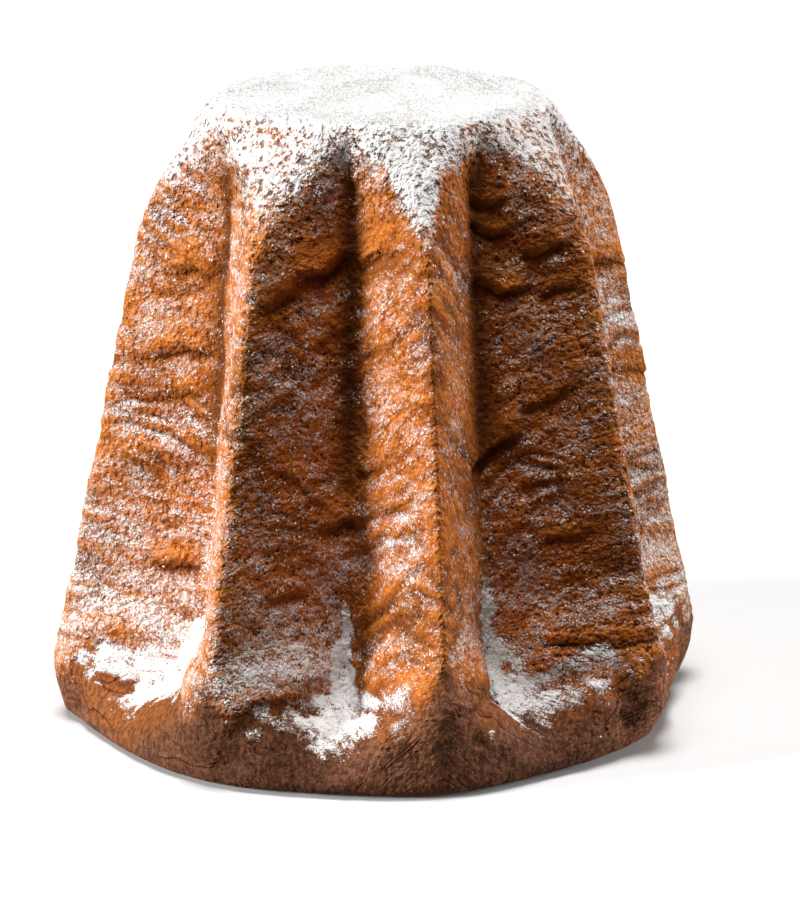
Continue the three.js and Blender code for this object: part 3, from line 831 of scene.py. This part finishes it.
# %% Helpers for node graphs
def set_inputs(tree, node, inputs):
    """Sets a node's inputs to numbers, or joins them to sockets."""
    for key, value in inputs.items():
        if isinstance(value, bpy.types.NodeSocket):
            tree.links.new(value, node.inputs[key])
        else:
            node.inputs[key].default_value = value


def add_node(tree, kind, inputs=None, **settings):
    """A new node with its settings and inputs."""
    node = tree.nodes.new(kind)
    for key, value in settings.items():
        setattr(node, key, value)
    set_inputs(tree, node, inputs or {})
    return node


def maths(tree, operation, a, b=0.0, c=0.0):
    """One sum of two or three numbers."""
    return add_node(tree, "ShaderNodeMath", {0: a, 1: b, 2: c}, operation=operation).outputs[0]


def times(tree, a, b):
    """The product of two numbers."""
    return maths(tree, "MULTIPLY", a, b)


def from_half(tree, value):
    """How far a noise is from its middle: near 0 on winding lines."""
    return maths(tree, "ABSOLUTE", maths(tree, "SUBTRACT", value, 0.5))


def largest(tree, parts):
    """The largest of some values, each multiplied by its weight, and no less than 0."""
    most = 0.0
    for value, weight in parts:
        most = maths(tree, "MAXIMUM", most, times(tree, value, weight))
    return most


def colour_mix(tree, share, a, b):
    """A colour a share of the way from a to b."""
    inputs = {0: share, 6: a, 7: b}
    return add_node(tree, "ShaderNodeMix", inputs, data_type="RGBA").outputs[2]


def scaled(tree, colour, factor):
    """A colour multiplied by a number."""
    return add_node(tree, "ShaderNodeVectorMath", {0: colour, "Scale": factor}, operation="SCALE").outputs[0]


def ramp(tree, value, low, high, to_low=0.0, to_high=1.0):
    """A smooth climb from one value to another between low and high."""
    inputs = {"Value": value, "From Min": low, "From Max": high, "To Min": to_low, "To Max": to_high}
    return add_node(tree, "ShaderNodeMapRange", inputs, interpolation_type="SMOOTHSTEP").outputs[0]


def noise(tree, vector, scale, detail=2.0, roughness=0.5):
    """A noise from 0 to 1 with that many waves to the metre."""
    inputs = {"Vector": vector, "Scale": scale, "Detail": detail, "Roughness": roughness}
    return add_node(tree, "ShaderNodeTexNoise", inputs).outputs["Fac"]


def read_value(tree, name):
    """A number kept at the points of the mesh."""
    return add_node(tree, "ShaderNodeAttribute", attribute_name=name).outputs["Fac"]


def object_coordinates(tree):
    """The place of a point in the object, in metres."""
    return add_node(tree, "ShaderNodeTexCoord").outputs["Object"]


def add_bump(tree, shader, height, strength, depth):
    """Tilts the shader's normal as a relief of that depth in metres would."""
    inputs = {"Strength": strength, "Distance": depth, "Height": height}
    set_inputs(tree, shader, {"Normal": add_node(tree, "ShaderNodeBump", inputs).outputs["Normal"]})


def set_shader(tree, shader, colour, roughness, specular):
    """Gives a shader its colour, its roughness and how much it shines."""
    inputs = {"Base Color": colour, "Roughness": roughness, "Specular IOR Level": specular}
    set_inputs(tree, shader, inputs)


print("node groups so far:", len(bpy.data.node_groups))


# %% [markdown]
# ## Icing powder
# The powder shows on the dusted crust and on the loose sugar, so it is a group that all of them use. It
# gives a white with painted shade in the dimples of its relief, and the height of its clumps and grain.

# %% The powder group
POWDER_IN_SHADE, POWDER_WHITE = (0.78, 0.755, 0.735, 1), (0.92, 0.91, 0.90, 1)
GRAIN_SCALE, DIMPLE_SCALE, CLOUD_SCALE = 1500.0, 420.0, 160.0
powder = bpy.data.node_groups.new("icing_powder", "ShaderNodeTree")
powder.interface.new_socket("Vector", in_out="INPUT", socket_type="NodeSocketVector")
powder.interface.new_socket("Colour", in_out="OUTPUT", socket_type="NodeSocketColor")
powder.interface.new_socket("Height", in_out="OUTPUT", socket_type="NodeSocketFloat")
powder_in = powder.nodes.new("NodeGroupInput")
powder_out = powder.nodes.new("NodeGroupOutput")
powder_where = powder_in.outputs["Vector"]
powder_grain = noise(powder, powder_where, GRAIN_SCALE, 3.0, 0.6)
powder_cloud = noise(powder, powder_where, CLOUD_SCALE, 3.0, 0.6)
powder_dimple = noise(powder, powder_where, DIMPLE_SCALE, 2.0, 0.6)
# Painted shade: the powder is greyer where its relief is low, in its dimples.
powder_painted_shade = ramp(powder, maths(powder, "ADD", powder_dimple, powder_cloud), 0.7, 1.25)
powder_relief = maths(powder, "MULTIPLY_ADD", powder_dimple, 0.7, powder_cloud)
powder_relief = maths(powder, "MULTIPLY_ADD", powder_grain, 0.15, powder_relief)
powder_tint = colour_mix(powder, powder_painted_shade, POWDER_IN_SHADE, POWDER_WHITE)
set_inputs(powder, powder_out, {"Colour": powder_tint, "Height": powder_relief})


def powder_on(tree, vector):
    """Places the powder group in a material."""
    node = add_node(tree, "ShaderNodeGroup", {"Vector": vector}, node_tree=powder)
    return node.outputs["Colour"], node.outputs["Height"]


print("powder group with", len(powder.nodes), "nodes")

# %% [markdown]
# ## The dusted crust
# The crust is browned unevenly: amber and brown in drawn-out streaks on the walls, with painted shade in
# creases, fold lines, valleys and pits, dark pores, and red-brown and fibrous at the foot. Each of these is a
# noise of its own size, and all of them also tilt the surface a little, so that they catch the light.

# %% A material with its shader
def new_material(name):
    """A material, its graph and its shader."""
    material = bpy.data.materials.new(name)
    material.use_nodes = True
    tree = material.node_tree
    return material, tree, tree.nodes["Principled BSDF"]


def weigh(tree, parts):
    """One half plus the sum of some values, each taken from its middle and multiplied by its weight."""
    total = 0.5
    for value, middle, weight in parts:
        total = maths(tree, "MULTIPLY_ADD", maths(tree, "SUBTRACT", value, middle), weight, total)
    return total


dusted, tree, shader = new_material("dusted_crust")
where = object_coordinates(tree)
parted = add_node(tree, "ShaderNodeSeparateXYZ", {0: where})
risen = read_value(tree, "rise")
sugar_amount = read_value(tree, "sugar")
browned = read_value(tree, "bake")
open_pores = read_value(tree, "porous")


def across_rise(stretch):
    """Coordinates whose third number is the rise, stretched, so that patterns follow the wrinkles."""
    inputs = {0: parted.outputs[0], 1: parted.outputs[1], 2: times(tree, risen, stretch)}
    return add_node(tree, "ShaderNodeCombineXYZ", inputs).outputs[0]


# %% Fine relief of the crust
RELIEF_SCALE, MOTTLE_SCALE = 520.0, 620.0
WRINKLE_SCALE, WRINKLED_SCALE = 85.0, 28.0
HOLE_SCALE, FEW_SCALE = 260.0, 75.0
UP_STEP = 0.5 * MM
along = across_rise(3.6)
across = across_rise(2.0)
mottle = noise(tree, where, MOTTLE_SCALE, 2.0, 0.6)
higher = add_node(tree, "ShaderNodeVectorMath", {0: where, 1: (0, 0, UP_STEP)}).outputs[0]
skin_relief = noise(tree, where, RELIEF_SCALE, 2.0, 0.5)
faces_up = maths(tree, "SUBTRACT", skin_relief, noise(tree, higher, RELIEF_SCALE, 2.0, 0.5))
rough_skin = ramp(tree, read_value(tree, "smooth_skin"), 0.0, 1.0, 1.0, 0.3)
pits = times(tree, ramp(tree, skin_relief, 0.30, 0.42, 1.0, 0.0), rough_skin)
wrinkle = from_half(tree, noise(tree, across, WRINKLE_SCALE, 3.0, 0.55))
wrinkled = ramp(tree, noise(tree, where, WRINKLED_SCALE, 1.0), 0.42, 0.6)
# Painted shade: thin dark lines in the creases of the wrinkles.
crease_line = times(tree, ramp(tree, wrinkle, 0.0, 0.035, 1.0, 0.0), wrinkled)
cells = add_node(tree, "ShaderNodeTexVoronoi", {"Vector": where, "Scale": HOLE_SCALE})
cell_distance = cells.outputs["Distance"]
few = weigh(tree, [(noise(tree, where, FEW_SCALE, 2.0), 0.5, 1.0), (open_pores, 0.0, 0.35)])
holes = times(tree, ramp(tree, cell_distance, 0.14, 0.30, 1.0, 0.0), ramp(tree, few, 0.56, 0.68))
print("nodes after the fine relief:", len(tree.nodes))

# %% Edges of the folds
FOLD_SWAY, FOLD_SHIFT = 3.0, 0.2
fold_depth = read_value(tree, "fold_weight")
from_fold = maths(tree, "ADD", read_value(tree, "fold_line"), FOLD_SHIFT)
fold_sway = maths(tree, "MULTIPLY_ADD", mottle, FOLD_SWAY, from_fold)
# Painted shade: a dark line along each fold, where the shadow of its lip falls.
fold_shade_line = ramp(tree, maths(tree, "ABSOLUTE", fold_sway), 0.3, 1.6, 1.0, 0.0)
fold_shade_line = times(tree, fold_shade_line, fold_depth)
fold_step = times(tree, ramp(tree, fold_sway, -0.7, 0.7), fold_depth)
print("nodes after the folds:", len(tree.nodes))

# %% Colours of the walls
AMBER = (0.62, 0.190, 0.031, 1)
BROWN = (0.34, 0.078, 0.010, 1)
STREAK_SCALE = 60.0
tone_and_light_here = read_value(tree, "tone_and_painted_light")
streaks = noise(tree, along, STREAK_SCALE, 5.0, 0.62)
light_share = ramp(tree, maths(tree, "ADD", streaks, mottle), 0.74, 1.22)
# The tone adds painted light and painted shade to the walls' colour, besides uneven browning.
light_share = maths(tree, "ADD", light_share, tone_and_light_here)
wall_inputs = {0: light_share, 6: BROWN, 7: AMBER}
wall_mix = add_node(tree, "ShaderNodeMix", wall_inputs, data_type="RGBA", clamp_factor=False)
crust_colour = wall_mix.outputs[2]
print("nodes after the walls:", len(tree.nodes))

# %% Colours of the foot
FIBRE_LIGHT = (0.36, 0.116, 0.030, 1)
FIBRE_DARK = (0.17, 0.052, 0.016, 1)
FOOT_DARK = (0.125, 0.044, 0.021, 1)
FOOT_TAN = (0.33, 0.136, 0.069, 1)
FIBRE_SCALE, FIBRE_DRAW, DOT_SCALE = 760.0, 0.25, 1500.0
fibrous = read_value(tree, "fibre")
foot_skin = maths(tree, "MAXIMUM", browned, fibrous)
# The tone scales the foot's colours, with painted shade and painted light by place.
tone_and_light_scale = maths(tree, "ADD", tone_and_light_here, 1.0)
draw = {0: where, 1: (1, 1, FIBRE_DRAW)}
drawn_out = add_node(tree, "ShaderNodeVectorMath", draw, operation="MULTIPLY").outputs[0]
fibres = noise(tree, drawn_out, FIBRE_SCALE, 3.0, 0.6)
fibre_share = ramp(tree, weigh(tree, [(fibres, 0.5, 1.0), (mottle, 0.5, 0.5)]), 0.36, 0.62)
fibre_colour = scaled(tree, colour_mix(tree, fibre_share, FIBRE_DARK, FIBRE_LIGHT), tone_and_light_scale)
crust_colour = colour_mix(tree, fibrous, crust_colour, fibre_colour)
dots = weigh(tree, [(noise(tree, where, DOT_SCALE, 1.0), 0.5, 1.0), (mottle, 0.5, 0.7)])
tan_share = weigh(tree, [(ramp(tree, dots, 0.46, 0.66), 0.5, 0.6), (fibre_share, 0.5, 0.6)])
foot_colour = scaled(tree, colour_mix(tree, tan_share, FOOT_DARK, FOOT_TAN), tone_and_light_scale)
brown_share = ramp(tree, weigh(tree, [(browned, 0.5, 1.0), (fibres, 0.5, -0.8)]), 0.1, 0.95)
crust_colour = colour_mix(tree, brown_share, crust_colour, foot_colour)
print("nodes after the foot:", len(tree.nodes))

# %% Splits, pores, and painted shade in creases, fold lines and pits, which are dark
DEEP_BROWN_AND_SHADE = (0.060, 0.014, 0.003, 1)
SPLIT_SCALE, SPLIT_PATCH_SCALE, PORE_SCALE = 36.0, 35.0, 520.0
split_line = from_half(tree, noise(tree, along, SPLIT_SCALE, 2.0, 0.5))
splits = times(tree, ramp(tree, split_line, 0.004, 0.02, 1.0, 0.0), foot_skin)
splits = times(tree, splits, ramp(tree, noise(tree, where, SPLIT_PATCH_SCALE, 1.0), 0.46, 0.58))
# Creases, wrinkle lines, fold lines and pits take painted shade; holes and splits are dark in themselves.
shade_and_dark_parts = [
    (read_value(tree, "painted_crease_shade"), 0.85),
    (pits, read_value(tree, "pits_and_shade")),
    (crease_line, 0.6),
    (holes, 0.8),
    (fold_shade_line, 0.85),
    (splits, 0.65),
]
crust_colour = colour_mix(tree, largest(tree, shade_and_dark_parts), crust_colour, DEEP_BROWN_AND_SHADE)
pore_noise = noise(tree, where, PORE_SCALE, 2.0, 0.55)
pore_field = weigh(tree, [(pore_noise, 0.5, 1.0), (cell_distance, 0.5, 0.25)])
pores = times(tree, ramp(tree, pore_field, 0.30, 0.44, 1.0, 0.0), open_pores)
crust_colour = colour_mix(tree, times(tree, pores, 0.4), crust_colour, DEEP_BROWN_AND_SHADE)
print("nodes after the dark parts:", len(tree.nodes))

# %% [markdown]
# ## Sifted sugar
# The amount of sugar sets a threshold, and the sugar shows where a mixture of noises is above it: fine
# grain on the flanks, and the walls between the pores near the top. A thin veil lies over it, because
# the finest powder is too small to be seen as specks.

# %% Where the sugar shows
CRUMB_SCALE, PATCH_SCALE, BAND_SCALE = 420.0, 200.0, 70.0
grain = noise(tree, where, GRAIN_SCALE, 0.0, 0.5)
crumb = noise(tree, where, CRUMB_SCALE, 2.0, 0.6)
patch = noise(tree, across, PATCH_SCALE, 2.0, 0.6)
band = noise(tree, across, BAND_SCALE, 2.0, 0.6)
bare = times(tree, maths(tree, "MAXIMUM", crease_line, times(tree, fold_shade_line, 1.6)), 0.25)
fine_parts = [
    (grain, 0.5, 1.1),
    (faces_up, 0.0, 0.7),
    (crumb, 0.5, 0.5),
    (patch, 0.5, 0.35),
    (band, 0.5, 0.3),
]
fine = maths(tree, "SUBTRACT", weigh(tree, fine_parts), bare)
coarse = weigh(tree, [(pore_field, 0.5, 1.15), (faces_up, 0.0, 0.4), (grain, 0.5, 0.4)])
sift = add_node(tree, "ShaderNodeMix", {0: open_pores, 2: fine, 3: coarse}).outputs[0]
threshold = ramp(tree, sugar_amount, 0.2, 1.0, 0.76, 0.12)
dusting = ramp(tree, maths(tree, "SUBTRACT", sift, threshold), -0.06, 0.06)
dusting = times(tree, dusting, ramp(tree, sugar_amount, 0.3, 0.75, 0.6, 1.0))
dusting = times(tree, dusting, ramp(tree, sugar_amount, 0.1, 0.24))
print("nodes after the sifting:", len(tree.nodes))

# %% The veil of fine powder
veil_parts = [
    (band, 0.5, 0.6),
    (patch, 0.5, 0.7),
    (crumb, 0.5, 0.9),
    (grain, 0.5, 0.7),
    (faces_up, 0.0, 0.7),
    (sugar_amount, FLANK_SUGAR, 1.4),
    (bare, 0.0, -1.0),
]
veil = ramp(tree, weigh(tree, veil_parts), 0.32, 0.85, 0.0, 0.26)
veil = times(tree, veil, ramp(tree, sugar_amount, 0.08, 0.3))
dusting = maths(tree, "MAXIMUM", dusting, veil)
dusting = maths(tree, "MAXIMUM", dusting, ramp(tree, sugar_amount, 0.7, 0.95, 0.0, 0.5))
print("nodes after the veil:", len(tree.nodes))

# %% The finished surface of the cake
WHITENESS, PAINTED_SHADE_DROP = 0.94, 0.24
CRUST_SPECULAR, CRUST_ROUGHNESS, POWDER_ROUGHNESS = 0.08, 0.7, 0.95
BUMP_DEPTH = 1.0 * MM
powder_colour, powder_height = powder_on(tree, where)
# The powder's whiteness carries the painted shade of the top and the painted light of the heaps.
whiteness = maths(tree, "MULTIPLY_ADD", read_value(tree, "painted_sugar_shading"), -PAINTED_SHADE_DROP, WHITENESS)
powder_colour = scaled(tree, powder_colour, whiteness)
dusted_colour = colour_mix(tree, dusting, crust_colour, powder_colour)
dusted_roughness = ramp(tree, dusting, 0.0, 1.0, CRUST_ROUGHNESS, POWDER_ROUGHNESS)
set_shader(tree, shader, dusted_colour, dusted_roughness, CRUST_SPECULAR)
foot_calm = ramp(tree, foot_skin, 0.0, 1.0, 1.0, 0.3)
skin_height = times(tree, skin_relief, ramp(tree, sugar_amount, 0.75, 0.95, 2.0, 1.0))
wrinkle_height = times(tree, wrinkle, ramp(tree, sugar_amount, 0.6, 0.9, 2.0, 0.0))
relief_parts = [
    (times(tree, skin_height, foot_calm), 1.0, 1.0),
    (times(tree, wrinkle_height, foot_calm), 0.0, 1.0),
    (pores, 0.0, -1.0),
    (dusting, 0.0, 0.2),
    (holes, 0.0, -0.7),
    (splits, 0.0, -0.8),
    (fold_step, 0.0, 1.1),
    (times(tree, powder_height, ramp(tree, sugar_amount, 0.7, 0.95)), 0.0, 0.7),
]
add_bump(tree, shader, weigh(tree, relief_parts), 1.0, BUMP_DEPTH)
cake.data.materials.append(dusted)
print("nodes in the dusted crust:", len(tree.nodes))

# %% [markdown]
# ## Loose sugar
# Thick clumps are white through and through. The thin specks and flecks on the flanks let the crust
# shine through, so in places they take a little of its colour. One function makes both materials.

# %% Materials of the loose sugar
THIN_TINT = (0.66, 0.40, 0.23, 1)
TINT_SCALE, THIN_TINT_MOST = 300.0, 0.4
CLUMP_SPECULAR, THIN_SPECULAR = 0.2, 0.1
GRAIN_STRENGTH, GRAIN_DEPTH = 0.4, 0.2 * MM


def sugar_material(name, most_tint, specular):
    """Powder that takes up to a share of the crust's colour, more in some places than in others."""
    material, tree, shader = new_material(name)
    where = object_coordinates(tree)
    colour, relief = powder_on(tree, where)
    tint_share = ramp(tree, noise(tree, where, TINT_SCALE, 2.0), 0.3, 0.7, 0.0, most_tint)
    set_shader(tree, shader, colour_mix(tree, tint_share, colour, THIN_TINT), POWDER_ROUGHNESS, specular)
    add_bump(tree, shader, relief, GRAIN_STRENGTH, GRAIN_DEPTH)
    return material


clumps.data.materials.append(sugar_material("loose_sugar", 0.0, CLUMP_SPECULAR))
thin_sugar = sugar_material("thin_sugar", THIN_TINT_MOST, THIN_SPECULAR)
for piece in (specks, flecks):
    piece.data.materials.append(thin_sugar)
print("loose sugar has", sum(len(piece.data.vertices) for piece in (clumps, specks, flecks)), "points")

# %% [markdown]
# ## Pieces in the frame
# Each piece belongs to the body of the solid, and the crust with its sugar stands for the plain solid.

# %% Join the pieces to the frame
for piece in (cake, clumps, specks, flecks):
    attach(piece, "root")
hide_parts("pandoro")
print("pieces:", [piece.name for piece in (cake, clumps, specks, flecks)])

# %% [markdown]
# ## Floor, light and camera
# A pale floor, a large soft light from the left, a weaker one from the right and one from above. Soft
# suns light the whole floor alike. The camera stands a metre and a half away, a little above the cake.

# %% Floor
FLOOR_HALF, FLOOR_DROP = 6.0, 0.2
PAPER_DARK, PAPER_LIGHT, PAPER_SCALE = (0.86, 0.86, 0.855, 1), (0.9, 0.9, 0.895, 1), 40.0
PAPER_ROUGHNESS, PAPER_SPECULAR = 0.9, 0.1
corners = np.array([(-1, -1, 0), (1, -1, 0), (1, 1, 0), (-1, 1, 0)]) * FLOOR_HALF / MM
corners[:, 2] = -FLOOR_DROP
floor = add_piece("floor", corners, [(0, 1, 2, 3)])
paper, tree, shader = new_material("pale_floor")
paper_grain = noise(tree, object_coordinates(tree), PAPER_SCALE, 3.0)
paper_colour = colour_mix(tree, paper_grain, PAPER_DARK, PAPER_LIGHT)
set_shader(tree, shader, paper_colour, PAPER_ROUGHNESS, PAPER_SPECULAR)
floor.data.materials.append(paper)
floor.visible_diffuse = False
print("floor is", 2 * FLOOR_HALF, "m across")

# %% Light
CAMERA_AZIMUTH = -11.08
WORLD_STRENGTH = 0.05


def way_to(azimuth, elevation):
    """The unit vector towards an azimuth, counted from the front, and an elevation, both in degrees."""
    a, e = np.radians(azimuth), np.radians(elevation)
    return Vector((np.sin(a) * np.cos(e), -np.cos(a) * np.cos(e), np.sin(e)))


def add_sun(name, azimuth, elevation, strength, softness):
    """A soft sun that shines from an azimuth, counted from the camera, and an elevation in degrees."""
    light = bpy.data.lights.new(name, "SUN")
    light.energy = strength * np.pi
    light.angle = np.radians(softness)
    lamp = bpy.data.objects.new(name, light)
    shines_from = way_to(azimuth + CAMERA_AZIMUTH, elevation)
    lamp.rotation_euler = shines_from.to_track_quat("Z", "Y").to_euler()
    bpy.context.scene.collection.objects.link(lamp)


add_sun("key_light", -74, 13, 1.6, 14)
add_sun("side_light", 98, 10, 0.9, 30)
add_sun("top_light", -20, 83, 0.88, 30)
world = bpy.data.worlds.new("studio")
world.use_nodes = True
background = world.node_tree.nodes["Background"]
set_inputs(world.node_tree, background, {"Color": (1, 1, 1, 1), "Strength": WORLD_STRENGTH})
bpy.context.scene.world = world
bpy.context.scene.view_settings.view_transform = "Standard"
print("lights:", [light.name for light in bpy.data.lights])

# %% Camera
FRAME_WIDTH, FRAME_HEIGHT = 800, 913
FOCAL_PIXELS = 4249.0
CAMERA_ELEVATION, CAMERA_DISTANCE = 14.7, 1.51
AIM_HEIGHT = 0.110
AIM_PIXEL = (379.2, 401.1)
camera_data = bpy.data.cameras.new("camera")
camera = bpy.data.objects.new("camera", camera_data)
backwards = way_to(CAMERA_AZIMUTH, CAMERA_ELEVATION)
camera.location = Vector((0, 0, AIM_HEIGHT)) + CAMERA_DISTANCE * backwards
camera.rotation_euler = backwards.to_track_quat("Z", "Y").to_euler()
camera_data.sensor_fit = "VERTICAL"
camera_data.sensor_height = 36.0
camera_data.lens = FOCAL_PIXELS / FRAME_HEIGHT * camera_data.sensor_height
camera_data.shift_x = (FRAME_WIDTH / 2 - AIM_PIXEL[0]) / FRAME_HEIGHT
camera_data.shift_y = -(FRAME_HEIGHT / 2 - AIM_PIXEL[1]) / FRAME_HEIGHT
bpy.context.scene.collection.objects.link(camera)
bpy.context.scene.camera = camera
print("lens:", camera_data.lens, "shift:", camera_data.shift_x, camera_data.shift_y)
